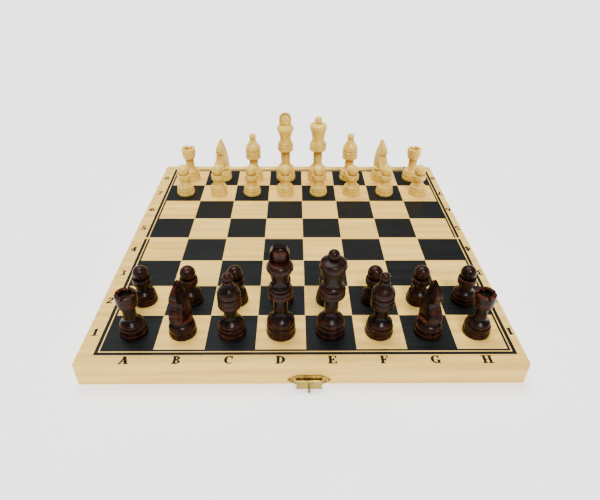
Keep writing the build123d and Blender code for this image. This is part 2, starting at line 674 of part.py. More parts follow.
def piece_places() -> dict:
    """Every chessman's node name with its solid, standing on its square."""
    shapes = {
        "king": king(), "queen": queen(), "bishop": bishop(), "rook": rook(), "pawn": pawn(),
        "knight_b": knight(-KNIGHT_TURN), "knight_g": knight(KNIGHT_TURN)
    }
    row = ["rook_a", "knight_b", "bishop_c", "king", "queen", "bishop_f", "knight_g", "rook_h"]
    placed = {}
    for colour, back_rank, pawn_rank in (("dark", 0, 1), ("light", FILES - 1, FILES - 2)):
        for file, name in enumerate(row):
            shape = shapes.get(name) or shapes[name.split("_")[0]]
            x, y = square_centre(file, back_rank)
            placed[f"{colour}_{name}"] = Pos(x, y, PLAYING_HEIGHT) * shape
            x, y = square_centre(file, pawn_rank)
            placed[f"{colour}_pawn_{'abcdefgh'[file]}"] = Pos(x, y, PLAYING_HEIGHT) * shapes["pawn"]
    return placed


def board_parts() -> dict:
    """Every node of the two trays, the hinges and the latch."""
    parts = {}
    for side, name in ((-1, "front"), (1, "back")):
        pieces = inlay(side)
        panel = tray_panel(side)
        for piece in pieces:
            panel = panel - piece
        parts[f"{name}_panel"] = panel
        parts[f"{name}_inlay"] = Compound(children=pieces)
        parts[f"{name}_outer_rail"] = outer_rail(side)
        parts[f"{name}_inner_rail"] = inner_rail(side)
        parts[f"{name}_left_rail"] = side_rail(side, -1)
        parts[f"{name}_right_rail"] = side_rail(side, 1)
        parts[f"{name}_hinge_screws"] = Compound(children=screws(side))
        parts[f"{name}_latch_nails"] = Compound(children=latch_nails(side))
    for x, name in zip(HINGE_XS, ("left", "right")):
        parts[f"{name}_hinge_front_leaf"] = hinge_leaf(x, -1)
        parts[f"{name}_hinge_back_leaf"] = hinge_leaf(x, 1)
        parts[f"{name}_hinge_pin"] = hinge_pin(x)
    parts["hasp_plate"] = hasp_plate()
    parts["hasp_flap"] = hasp_flap()
    parts["hasp_pin"] = hasp_pin()
    parts["catch_plate"] = catch_plate()
    return parts


os.makedirs("parts", exist_ok=True)
for node, shape in {**board_parts(), **piece_places()}.items():
    export_step(shape, f"parts/{node}.step")
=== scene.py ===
"""Looks of a folding wooden chess set: open board, brass latch and hinges, turned chessmen.

Every size is in millimetres until it reaches Blender, which works in metres.
"""

import logging
import math
from collections.abc import Iterable
from dataclasses import dataclass, field
from enum import Enum

import bpy
from mathutils import Matrix, Vector

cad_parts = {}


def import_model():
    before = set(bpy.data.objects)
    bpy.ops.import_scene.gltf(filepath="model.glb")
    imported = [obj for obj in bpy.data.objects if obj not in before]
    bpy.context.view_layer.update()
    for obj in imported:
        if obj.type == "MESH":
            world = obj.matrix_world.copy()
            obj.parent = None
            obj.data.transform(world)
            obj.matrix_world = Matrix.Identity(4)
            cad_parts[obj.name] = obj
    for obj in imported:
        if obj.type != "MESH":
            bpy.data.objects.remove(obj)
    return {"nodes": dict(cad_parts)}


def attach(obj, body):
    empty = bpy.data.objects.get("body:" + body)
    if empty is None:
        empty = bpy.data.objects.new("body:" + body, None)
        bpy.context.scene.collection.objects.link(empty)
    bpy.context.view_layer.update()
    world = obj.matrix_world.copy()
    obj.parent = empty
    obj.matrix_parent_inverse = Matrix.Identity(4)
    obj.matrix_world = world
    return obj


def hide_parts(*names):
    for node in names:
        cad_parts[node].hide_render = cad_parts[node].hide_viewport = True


MM = 0.001
FILES = "abcdefgh"
SQUARE = 33.0
PRINT_SHIFT = 2.5
BOARD_TOP = 18.0
INK_HEIGHT = 0.03
GROOVE = 0.55
BELL_BULGE = 0.09
INK_SPREAD = 0.04
WELD_DISTANCE = 0.002

log = logging.getLogger("chess_set")


class Side(Enum):
    """The two halves of the folding board, by their place along Y."""

    FRONT = -1
    BACK = 1

    @property
    def body(self) -> str:
        """Name of the CAD body of this half."""
        return "front_half" if self is Side.FRONT else "back_half"


class Colour(Enum):
    """The two armies."""

    DARK = "dark"
    LIGHT = "light"

    @property
    def slot(self) -> str:
        """Name of the record's material slot of this army."""
        return f"{self.value}_lacquered_wood"


class Kind(Enum):
    """The six kinds of chessmen."""

    KING = "king"
    QUEEN = "queen"
    BISHOP = "bishop"
    KNIGHT = "knight"
    ROOK = "rook"
    PAWN = "pawn"


# Finishes


class NodeGraph:
    """Adds and joins the nodes of one material."""

    def __init__(self, name: str) -> None:
        """Starts a material that holds one shader.

        Args:
            name: the material's name.
        """
        self.material = bpy.data.materials.new(name)
        self.material.use_nodes = True
        self.tree = self.material.node_tree
        self.shader = next(n for n in self.tree.nodes if n.type == "BSDF_PRINCIPLED")
        self.place = self.add("ShaderNodeTexCoord").outputs["Object"]

    def add(self, kind: str, **settings: object) -> bpy.types.Node:
        """Adds a node.

        Args:
            kind: the node's type in Blender.
            settings: properties of the node, by name.

        Returns:
            The new node.
        """
        node = self.tree.nodes.new(kind)
        for key, value in settings.items():
            setattr(node, key, value)
        return node

    def join(self, source: bpy.types.NodeSocket, target: bpy.types.NodeSocket) -> None:
        """Links two sockets."""
        self.tree.links.new(source, target)

    def noise(self, stretch: tuple[float, float, float], detail: float = 4.0) -> bpy.types.NodeSocket:
        """Noise with its own number of patches per metre along each axis.

        Args:
            stretch: patches per metre along X, Y and Z.
            detail: octaves of finer noise.

        Returns:
            The noise's factor.
        """
        mapping = self.add("ShaderNodeMapping")
        mapping.inputs["Scale"].default_value = stretch
        self.join(self.place, mapping.inputs["Vector"])
        texture = self.add("ShaderNodeTexNoise")
        texture.inputs["Scale"].default_value = 1.0
        texture.inputs["Detail"].default_value = detail
        self.join(mapping.outputs["Vector"], texture.inputs["Vector"])
        return texture.outputs["Fac"]

    def ramp(
        self, factor: bpy.types.NodeSocket, stops: Iterable[tuple[float, tuple[float, float, float]]]
    ) -> bpy.types.NodeSocket:
        """Turns a factor into a colour.

        Args:
            factor: what drives the ramp.
            stops: places from 0 to 1 with their colours.

        Returns:
            The ramp's colour.
        """
        node = self.add("ShaderNodeValToRGB")
        elements = node.color_ramp.elements
        for index, (place, colour) in enumerate(stops):
            element = elements[index] if index < 2 else elements.new(place)
            element.position = place
            element.color = (*colour, 1.0)
        self.join(factor, node.inputs["Fac"])
        return node.outputs["Color"]

    def spread(self, factor: bpy.types.NodeSocket, low: float, high: float) -> bpy.types.NodeSocket:
        """Maps a noise's usual range onto low to high.

        Args:
            factor: the noise.
            low: result where the noise is faint.
            high: result where it is strong.

        Returns:
            The mapped value.
        """
        node = self.add("ShaderNodeMapRange")
        node.inputs["From Min"].default_value = 0.3
        node.inputs["From Max"].default_value = 0.7
        node.inputs["To Min"].default_value = low
        node.inputs["To Max"].default_value = high
        self.join(factor, node.inputs["Value"])
        return node.outputs["Result"]

    def times(self, first: bpy.types.NodeSocket, second: bpy.types.NodeSocket) -> bpy.types.NodeSocket:
        """Product of two factors, kept between 0 and 1."""
        node = self.add("ShaderNodeMath", operation="MULTIPLY", use_clamp=True)
        self.join(first, node.inputs[0])
        self.join(second, node.inputs[1])
        return node.outputs["Value"]

    def blend(
        self,
        factor: bpy.types.NodeSocket,
        first: bpy.types.NodeSocket,
        second: bpy.types.NodeSocket,
        mode: str = "MIX",
    ) -> bpy.types.NodeSocket:
        """Mixes two colours.

        Args:
            factor: share of the second colour.
            first: colour where the factor is 0.
            second: colour where the factor is 1.
            mode: Blender's blend type.

        Returns:
            The mixed colour.
        """
        node = self.add("ShaderNodeMix", data_type="RGBA", blend_type=mode)
        self.join(factor, node.inputs["Factor"])
        self.join(first, node.inputs[6])
        self.join(second, node.inputs[7])
        return node.outputs[2]

    def bump(self, height: bpy.types.NodeSocket, strength: float, depth: float) -> None:
        """Raises the surface by a factor.

        Args:
            height: what is raised.
            strength: share of the effect.
            depth: height of the relief in metres.
        """
        node = self.add("ShaderNodeBump")
        node.inputs["Strength"].default_value = strength
        node.inputs["Distance"].default_value = depth
        self.join(height, node.inputs["Height"])
        self.join(node.outputs["Normal"], self.shader.inputs["Normal"])

    def set(self, **values: float) -> None:
        """Sets constants on the shader's own sockets; an underscore stands for a space."""
        for key, value in values.items():
            self.shader.inputs[key.replace("_", " ")].default_value = value


@dataclass(frozen=True)
class BoardWood:
    """Pale basswood, thinly varnished, with its grain along the board's files."""

    name: str = "varnished_basswood"
    pale: tuple[float, float, float] = (0.96, 0.63, 0.135)
    deep: tuple[float, float, float] = (0.72, 0.42, 0.085)
    pore: tuple[float, float, float] = (0.62, 0.40, 0.20)
    stretch: tuple[float, float, float] = (7.0, 170.0, 170.0)

    def build(self) -> bpy.types.Material:
        """Makes the material."""
        graph = NodeGraph(self.name)
        grain = graph.noise(self.stretch, 6.0)
        base = graph.ramp(grain, [(0.3, self.deep), (0.62, self.pale)])
        fine = graph.noise(tuple(6 * s for s in self.stretch), 3.0)
        pores = graph.ramp(fine, [(0.30, self.pore), (0.42, (1.0, 1.0, 1.0))])
        share = graph.spread(grain, 0.12, 0.3)
        graph.join(graph.blend(share, base, pores, "MULTIPLY"), graph.shader.inputs["Base Color"])
        graph.join(graph.spread(fine, 0.42, 0.52), graph.shader.inputs["Roughness"])
        graph.bump(fine, 0.25, 0.00006)
        graph.set(Specular_IOR_Level=0.25)
        return graph.material


@dataclass(frozen=True)
class BlackPaint:
    """Screen-printed black with the wood's grain just showing through."""

    name: str = "black_print"
    black: tuple[float, float, float] = (0.004, 0.005, 0.005)
    worn: tuple[float, float, float] = (0.010, 0.011, 0.011)

    def build(self) -> bpy.types.Material:
        """Makes the material."""
        graph = NodeGraph(self.name)
        grain = graph.noise((20.0, 500.0, 500.0), 4.0)
        colour = graph.ramp(grain, [(0.35, self.black), (0.75, self.worn)])
        graph.join(colour, graph.shader.inputs["Base Color"])
        graph.join(graph.spread(grain, 0.38, 0.5), graph.shader.inputs["Roughness"])
        graph.bump(grain, 0.2, 0.00005)
        graph.set(Specular_IOR_Level=0.1)
        return graph.material


@dataclass(frozen=True)
class LightLacquer:
    """Pale maple under clear satin lacquer, its grain upright in each chessman; its grooves are painted
    darker as shade.
    """

    name: str = "pale_lacquer"
    pale: tuple[float, float, float] = (0.96, 0.66, 0.10)
    deep: tuple[float, float, float] = (0.66, 0.37, 0.045)
    edge: tuple[float, float, float] = (0.99, 0.82, 0.24)
    # colour of the painted shade in the grooves
    shade: tuple[float, float, float] = (0.36, 0.17, 0.02)

    def build(self) -> bpy.types.Material:
        """Makes the material."""
        graph = NodeGraph(self.name)
        grain = graph.noise((260.0, 260.0, 22.0), 5.0)
        base = graph.ramp(grain, [(0.32, self.deep), (0.62, self.pale)])
        wear = graph.add("ShaderNodeAttribute", attribute_name="wear").outputs["Fac"]
        bright = graph.ramp(grain, [(0.0, self.edge), (1.0, self.pale)])
        body = graph.blend(wear, base, bright)
        # painted shade: grooves and recesses are darkened towards the shade colour, as if in shadow
        hollow_shade = graph.add("ShaderNodeAttribute", attribute_name="hollow_shade").outputs["Fac"]
        painted_shade_tone = graph.ramp(grain, [(0.2, self.shade), (0.9, self.deep)])
        graph.join(graph.blend(hollow_shade, body, painted_shade_tone), graph.shader.inputs["Base Color"])
        graph.join(graph.spread(grain, 0.3, 0.4), graph.shader.inputs["Roughness"])
        graph.bump(graph.noise((900.0, 900.0, 90.0), 3.0), 0.12, 0.00004)
        graph.set(Coat_Weight=0.08, Coat_Roughness=0.2, Specular_IOR_Level=0.3)
        return graph.material


@dataclass(frozen=True)
class DarkLacquer:
    """Near-black brown lacquer, thin on the raised rings, where the red wood shows; its grooves are
    painted black as shade.
    """

    name: str = "dark_lacquer"
    black: tuple[float, float, float] = (0.0035, 0.0026, 0.0024)
    brown: tuple[float, float, float] = (0.014, 0.006, 0.004)
    red: tuple[float, float, float] = (0.125, 0.026, 0.009)

    def build(self) -> bpy.types.Material:
        """Makes the material."""
        graph = NodeGraph(self.name)
        grain = graph.noise((300.0, 300.0, 60.0), 5.0)
        base = graph.ramp(grain, [(0.35, self.black), (0.7, self.brown)])
        wear = graph.add("ShaderNodeAttribute", attribute_name="wear").outputs["Fac"]
        patches = graph.spread(graph.noise((120.0, 120.0, 420.0), 5.0), 0.0, 1.3)
        share = graph.times(wear, patches)
        bare = graph.ramp(grain, [(0.3, self.brown), (0.62, self.red)])
        rubbed = graph.noise((70.0, 70.0, 150.0), 4.0)
        thin = graph.ramp(rubbed, [(0.55, (0.0, 0.0, 0.0)), (0.78, (0.35, 0.35, 0.35))])
        worn = graph.blend(thin, graph.blend(share, base, bare), bare)
        # painted shade: grooves and recesses are painted plain black, as if in shadow
        hollow_shade = graph.add("ShaderNodeAttribute", attribute_name="hollow_shade").outputs["Fac"]
        painted_shade_black = graph.ramp(grain, [(0.0, self.black), (1.0, self.black)])
        graph.join(graph.blend(hollow_shade, worn, painted_shade_black), graph.shader.inputs["Base Color"])
        graph.join(graph.spread(grain, 0.2, 0.32), graph.shader.inputs["Roughness"])
        graph.bump(graph.noise((700.0, 700.0, 200.0), 3.0), 0.15, 0.00005)
        graph.set(Specular_IOR_Level=0.11)
        return graph.material


@dataclass(frozen=True)
class Brass:
    """Thin stamped brass, slightly tarnished."""

    name: str = "stamped_brass"
    bright: tuple[float, float, float] = (0.43, 0.305, 0.075)
    dull: tuple[float, float, float] = (0.18, 0.115, 0.03)

    def build(self) -> bpy.types.Material:
        """Makes the material."""
        graph = NodeGraph(self.name)
        stains = graph.noise((420.0, 420.0, 420.0), 5.0)
        colour = graph.ramp(stains, [(0.32, self.dull), (0.6, self.bright)])
        graph.join(colour, graph.shader.inputs["Base Color"])
        graph.join(graph.spread(stains, 0.42, 0.24), graph.shader.inputs["Roughness"])
        graph.bump(graph.noise((2500.0, 2500.0, 2500.0), 2.0), 0.1, 0.00003)
        graph.set(Metallic=1.0)
        return graph.material


@dataclass(frozen=True)
class StudioPaper:
    """Pale paper of the floor."""

    name: str = "studio_paper"
    low: tuple[float, float, float] = (0.93, 0.93, 0.93)
    high: tuple[float, float, float] = (0.96, 0.96, 0.96)
    glow: float = 0.9

    def build(self) -> bpy.types.Material:
        """Makes the material."""
        graph = NodeGraph(self.name)
        colour = graph.ramp(graph.noise((9.0, 9.0, 9.0), 3.0), [(0.3, self.low), (0.7, self.high)])
        graph.join(colour, graph.shader.inputs["Base Color"])
        graph.shader.inputs["Emission Color"].default_value = (1.0, 1.0, 1.0, 1.0)
        graph.set(Roughness=0.9, Emission_Strength=self.glow)
        return graph.material


# Workshop: how pieces are shaped


def deselect() -> None:
    """Leaves edit mode and clears the selection."""
    if bpy.context.object and bpy.context.object.mode != "OBJECT":
        bpy.ops.object.mode_set(mode="OBJECT")
    bpy.ops.object.select_all(action="DESELECT")


def pick(piece: bpy.types.Object) -> None:
    """Makes a piece the only selected and the active one."""
    deselect()
    piece.select_set(True)
    bpy.context.view_layer.objects.active = piece


def trace(name: str, points: list[Vector]) -> bpy.types.Object:
    """Draws a chain of edges by extruding one corner from point to point.

    Args:
        name: the new piece's name.
        points: the chain's corners, in metres.

    Returns:
        The piece, in edit mode with its last corner selected.
    """
    deselect()
    bpy.ops.mesh.primitive_plane_add(size=MM, location=(0, 0, 0))
    piece = bpy.context.object
    piece.name = name
    bpy.ops.object.mode_set(mode="EDIT")
    bpy.ops.mesh.select_mode(type="VERT")
    bpy.ops.mesh.select_all(action="SELECT")
    bpy.ops.mesh.merge(type="CENTER")
    bpy.ops.transform.translate(value=points[0])
    for before, after in zip(points, points[1:]):
        bpy.ops.mesh.extrude_region_move(TRANSFORM_OT_translate={"value": after - before})
    return piece


def heal(piece: bpy.types.Object) -> None:
    """Merges doubled corners and turns all faces outwards, then leaves edit mode."""
    bpy.ops.object.mode_set(mode="EDIT")
    bpy.ops.mesh.select_all(action="SELECT")
    bpy.ops.mesh.remove_doubles(threshold=WELD_DISTANCE * MM)
    bpy.ops.mesh.normals_make_consistent(inside=False)
    bpy.ops.object.mode_set(mode="OBJECT")


def apply(piece: bpy.types.Object, kind: str, **settings: object) -> None:
    """Adds a modifier and applies it.

    Args:
        piece: what is modified.
        kind: Blender's modifier type.
        settings: properties of the modifier, by name.
    """
    pick(piece)
    modifier = piece.modifiers.new(kind.lower(), kind)
    for key, value in settings.items():
        setattr(modifier, key, value)
    bpy.ops.object.modifier_apply(modifier=modifier.name)


def carve(piece: bpy.types.Object, cutter: bpy.types.Object) -> None:
    """Cuts one piece out of another and throws the cutter away."""
    apply(piece, "BOOLEAN", operation="DIFFERENCE", solver="EXACT", object=cutter)
    bpy.data.objects.remove(cutter)


def keep_common(piece: bpy.types.Object, other: bpy.types.Object) -> None:
    """Keeps what two solids share and removes the second.

    Args:
        piece: what is cut.
        other: the solid that bounds it.
    """
    apply(piece, "BOOLEAN", operation="INTERSECT", solver="EXACT", object=other)
    bpy.data.objects.remove(other)
    heal(piece)


def block(size: Vector, place: Vector, turn: tuple[float, float, float] = (0, 0, 0)) -> bpy.types.Object:
    """A cutting block.

    Args:
        size: its three sides in millimetres.
        place: its middle in millimetres.
        turn: its Euler angles in degrees.

    Returns:
        The block, its place applied to its mesh.
    """
    deselect()
    angles = tuple(math.radians(a) for a in turn)
    bpy.ops.mesh.primitive_cube_add(size=1, location=place * MM, rotation=angles)
    piece = bpy.context.object
    piece.scale = size * MM
    bpy.ops.object.transform_apply(location=True, rotation=True, scale=True)
    return piece


def join(pieces: list[bpy.types.Object]) -> bpy.types.Object:
    """Joins pieces into the first one."""
    pick(pieces[0])
    for piece in pieces[1:]:
        piece.select_set(True)
    bpy.ops.object.join()
    return bpy.context.object


def smooth(piece: bpy.types.Object, degrees: float) -> None:
    """Shades a piece smooth except over edges sharper than this."""
    pick(piece)
    bpy.ops.object.shade_smooth_by_angle(angle=math.radians(degrees))


def mark_wear_and_shade(piece: bpy.types.Object, gain: float) -> None:
    """Stores on every corner how far it stands out from its neighbours, as edge wear, or lies behind them,
    as painted shade.

    Args:
        piece: what is marked.
        gain: how quickly an edge counts as worn and a groove as shaded.
    """
    mesh = piece.data
    total = [0.0] * len(mesh.vertices)
    count = [0] * len(mesh.vertices)
    for edge in mesh.edges:
        for here, there in (edge.vertices, reversed(edge.vertices)):
            corner = mesh.vertices[here]
            way = mesh.vertices[there].co - corner.co
            if way.length > 0:
                total[here] -= corner.normal.dot(way.normalized())
                count[here] += 1
    # wear marks raised edges; the second mark darkens grooves and recesses as painted shade
    for name, sign in (("wear", 1.0), ("hollow_shade", -1.0)):
        attribute = mesh.attributes.new(name, "FLOAT", "POINT")
        for index, value in enumerate(total):
            mean = sign * value / max(count[index], 1)
            attribute.data[index].value = min(max(mean * gain, 0.0), 1.0)


def copy_to(
    pattern: bpy.types.Object, name: str, place: Vector, degrees: float = 0.0
) -> bpy.types.Object:
    """Copies a piece with a mesh of its own.

    Args:
        pattern: the piece that is copied, modelled about the upright axis.
        name: the copy's name.
        place: where the axis goes, in millimetres.
        degrees: turn about the upright axis.

    Returns:
        The copy, its place in its mesh.
    """
    piece = pattern.copy()
    piece.data = pattern.data.copy()
    piece.name = name
    bpy.context.scene.collection.objects.link(piece)
    turn = Matrix.Rotation(math.radians(degrees), 4, "Z")
    piece.data.transform(Matrix.Translation(place * MM) @ turn)
    return piece


# Chessmen


class Outline:
    """Half an outline for turning: radius against height, in millimetres."""

    def __init__(self, radius: float) -> None:
        """Starts on the axis and runs out to the radius."""
        self.points: list[tuple[float, float]] = [(0.0, 0.0), (radius, 0.0)]

    def line(self, radius: float, rise: float) -> None:
        """A straight run to the radius, this much further up."""
        last_radius, last_height = self.points[-1]
        if abs(radius - last_radius) > 0.01 or rise > 0.01:
            self.points.append((radius, last_height + rise))

    def bow(self, radius: float, rise: float, swell: float, steps: int = 6) -> None:
        """A curve to the radius, this much further up.

        Args:
            radius: radius at its end.
            rise: how much further up it ends.
            swell: how far its middle stands out, or in if negative.
            steps: number of edges.
        """
        start, foot = self.points[-1]
        run = math.hypot(radius - start, rise)
        for index in range(1, steps + 1):
            share = index / steps
            out = 4 * swell * share * (1 - share)
            self.points.append(
                (
                    start + (radius - start) * share + out * rise / run,
                    foot + rise * share - out * (radius - start) / run,
                )
            )

    def ring(self, radius: float, height: float) -> None:
        """One rounded ring that stands out to the radius."""
        self.line(radius - GROOVE, 0.0)
        foot = self.points[-1][1]
        steps, fullness = 10, 0.6
        for index in range(1, steps + 1):
            angle = math.pi * index / steps
            out = GROOVE * math.sin(angle) ** fullness
            up = foot + height * (0.5 - 0.5 * math.cos(angle))
            self.points.append((radius - GROOVE + out, up))

    def ball(self, radius: float, rise: float) -> None:
        """A ball that ends the outline, its centre this much further up."""
        centre = self.points[-1][1] + rise
        foot = -math.asin(rise / radius)
        steps = 16
        for index in range(steps + 1):
            angle = foot + (math.pi / 2 - foot) * index / steps
            self.points.append((radius * math.cos(angle), centre + radius * math.sin(angle)))

    def turn(self, name: str, steps: int = 64) -> bpy.types.Object:
        """Spins the outline about the upright axis.

        Args:
            name: the turned piece's name.
            steps: number of segments around.

        Returns:
            The turned piece, closed, with its faces outwards.
        """
        if self.points[-1][0] > 0.001:
            self.points.append((0.0, self.points[-1][1]))
        chain = [Vector((r, 0, z)) * MM for r, z in self.points]
        piece = trace(name, chain)
        bpy.ops.mesh.select_all(action="SELECT")
        bpy.ops.mesh.spin(steps=steps, angle=math.tau, center=(0, 0, 0), axis=(0, 0, 1))
        heal(piece)
        return piece


@dataclass(frozen=True)
class Stem:
    """Foot ring, cushion, bell and neck that every chessman stands on."""

    foot_radius: float
    foot_height: float
    cushion_radius: float
    cushion_height: float
    bell_radius: float
    bell_height: float
    neck_radius: float
    neck_height: float
    collar_radius: float = 0.0
    collar_height: float = 0.0
    collar_rings: int = 0

    def outline(self) -> Outline:
        """Draws the stem with its collar rings."""
        path = Outline(self.foot_radius - GROOVE)
        path.ring(self.foot_radius, self.foot_height)
        path.ring(self.cushion_radius, self.cushion_height)
        path.line(self.bell_radius, 0)
        shoulder = 0.6 * self.bell_radius + 0.4 * self.neck_radius
        path.bow(shoulder, self.bell_height * 0.45, self.bell_height * BELL_BULGE)
        path.bow(self.neck_radius, self.bell_height * 0.55, -self.bell_height * BELL_BULGE)
        path.line(self.neck_radius, self.neck_height)
        for _ in range(self.collar_rings):
            path.ring(self.collar_radius, self.collar_height)
        return path


@dataclass(frozen=True)
class King:
    """King: flared crown with a flat, round-topped tab."""

    stem: Stem = Stem(9.9, 3.8, 9.6, 4.6, 8.8, 14.0, 4.8, 9.8, 8.0, 3.1, 2)
    saddle_radius: float = 6.4
    saddle_rise: float = 2.8
    waist_radius: float = 5.4
    waist_rise: float = 3.6
    crown_radius: float = 8.5
    crown_rise: float = 9.2
    shoulder_radius: float = 6.4
    shoulder_rise: float = 4.2
    tab_width: float = 14.2
    tab_top_width: float = 11.8
    tab_height: float = 12.2
    tab_thickness: float = 5.2
    tab_edge: float = 0.9

    def build(self) -> bpy.types.Object:
        """Turns the body and joins the tab to it."""
        path = self.stem.outline()
        path.line(self.stem.collar_radius - 2 * GROOVE, 0)
        path.bow(self.saddle_radius, self.saddle_rise, 0.5)
        path.bow(self.waist_radius, self.waist_rise, -0.3)
        path.bow(self.crown_radius, self.crown_rise, -0.5)
        path.bow(self.shoulder_radius, self.shoulder_rise, 0.7)
        crown_top = path.points[-1][1]
        body = path.turn("king")
        return join([body, self.tab(crown_top)])

    def tab(self, crown_top: float) -> bpy.types.Object:
        """Shapes the tab from a block.

        Args:
            crown_top: height where the tab leaves the crown.

        Returns:
            The tab in its place.
        """
        foot = crown_top - self.shoulder_rise / 2
        height = crown_top + self.tab_height - foot
        size = Vector((self.tab_width, self.tab_thickness, height))
        piece = block(size, Vector((0, 0, foot + height / 2)))
        piece.name = "king_tab"
        for face in piece.data.polygons:
            face.select = face.normal.z > 0.9
        bpy.ops.object.mode_set(mode="EDIT")
        narrow = self.tab_top_width / self.tab_width
        bpy.ops.transform.resize(value=(narrow, 1, 1))
        bpy.ops.object.mode_set(mode="OBJECT")
        top = (foot + height - 0.1) * MM
        for edge in piece.data.edges:
            ends = [piece.data.vertices[i].co for i in edge.vertices]
            edge.select = all(e.z > top for e in ends) and abs(ends[0].x - ends[1].x) < 0.1 * MM
        bpy.ops.object.mode_set(mode="EDIT")
        bpy.ops.mesh.select_mode(type="EDGE")
        bpy.ops.mesh.bevel(offset=self.tab_top_width * 0.47 * MM, segments=9, affect="EDGES")
        bpy.ops.object.mode_set(mode="OBJECT")
        apply(
            piece, "BEVEL", width=self.tab_edge * MM, segments=3, limit_method="ANGLE",
            angle_limit=math.radians(50),
        )
        return piece


@dataclass(frozen=True)
class Queen:
    """Queen: tall flared crown under a ball."""

    stem: Stem = Stem(9.9, 3.8, 9.6, 4.6, 8.8, 13.4, 4.6, 11.0, 8.6, 3.2, 2)
    saddle_radius: float = 6.9
    saddle_rise: float = 2.0
    waist_radius: float = 6.0
    waist_rise: float = 2.6
    crown_radius: float = 8.7
    crown_rise: float = 11.6
    rim_radius: float = 8.0
    rim_rise: float = 3.4
    ball_radius: float = 3.8
    ball_rise: float = 4.6

    def build(self) -> bpy.types.Object:
        """Turns the piece."""
        path = self.stem.outline()
        path.line(self.stem.collar_radius - 2 * GROOVE, 0)
        path.bow(self.saddle_radius, self.saddle_rise, 0.5)
        path.bow(self.waist_radius, self.waist_rise, -0.3)
        path.bow(self.crown_radius, self.crown_rise, -0.5)
        path.bow(self.rim_radius, self.rim_rise, 0.3)
        path.bow(self.ball_radius * 0.8, self.ball_rise * 0.4, 0.2)
        path.ball(self.ball_radius, self.ball_rise * 0.6)
        return path.turn("queen")


@dataclass(frozen=True)
class Bishop:
    """Bishop: pointed mitre with a small ball."""

    stem: Stem = Stem(9.5, 3.6, 9.1, 4.0, 8.2, 9.4, 4.5, 6.6, 7.7, 4.0, 2)
    mitre_foot_radius: float = 6.8
    mitre_radius: float = 7.6
    mitre_bulge_rise: float = 2.2
    mitre_neck_radius: float = 3.1
    mitre_height: float = 12.4
    ball_radius: float = 3.4
    ball_rise: float = 2.6

    def build(self) -> bpy.types.Object:
        """Turns the piece."""
        path = self.stem.outline()
        path.line(self.mitre_foot_radius, 0)
        path.bow(self.mitre_radius, self.mitre_bulge_rise, 0.3)
        shoulder = (self.mitre_radius + self.mitre_neck_radius) / 2
        path.bow(shoulder, self.mitre_height * 0.4, 0.5)
        path.bow(self.mitre_neck_radius, self.mitre_height * 0.4, -0.5)
        path.ball(self.ball_radius, self.ball_rise)
        return path.turn("bishop")


@dataclass(frozen=True)
class Rook:
    """Rook: hollow tower top with four crenels."""

    stem: Stem = Stem(9.2, 3.6, 8.8, 4.0, 7.8, 8.4, 4.4, 7.6, 6.3, 3.6, 1)
    tower_radius: float = 6.8
    tower_height: float = 6.8
    recess_radius: float = 4.3
    recess_depth: float = 3.0
    crenel_width: float = 1.9
    crenel_depth: float = 1.8
    edge: float = 0.25

    def build(self) -> bpy.types.Object:
        """Turns the hollow tower and cuts its crenels."""
        path = self.stem.outline()
        path.line(self.tower_radius, 0)
        path.bow(self.tower_radius, self.tower_height - self.edge, 0.2)
        path.line(self.tower_radius - self.edge, self.edge)
        path.line(self.recess_radius + self.edge, 0)
        top = path.points[-1][1]
        path.points.append((self.recess_radius, top - self.edge))
        path.points.append((self.recess_radius, top - self.recess_depth))
        piece = path.turn("rook")
        size = Vector((4 * self.tower_radius, self.crenel_width, 2 * self.crenel_depth))
        carve(piece, block(size, Vector((0, 0, top))))
        carve(piece, block(size, Vector((0, 0, top)), (0, 0, 90)))
        return piece


@dataclass(frozen=True)
class Pawn:
    """Pawn: ball on a thick collar."""

    stem: Stem = Stem(8.6, 3.2, 8.1, 3.2, 7.4, 7.4, 4.7, 2.1, 6.5, 4.9, 1)
    ball_radius: float = 5.5
    ball_rise: float = 4.2

    def build(self) -> bpy.types.Object:
        """Turns the piece."""
        path = self.stem.outline()
        path.ball(self.ball_radius, self.ball_rise)
        return path.turn("pawn")


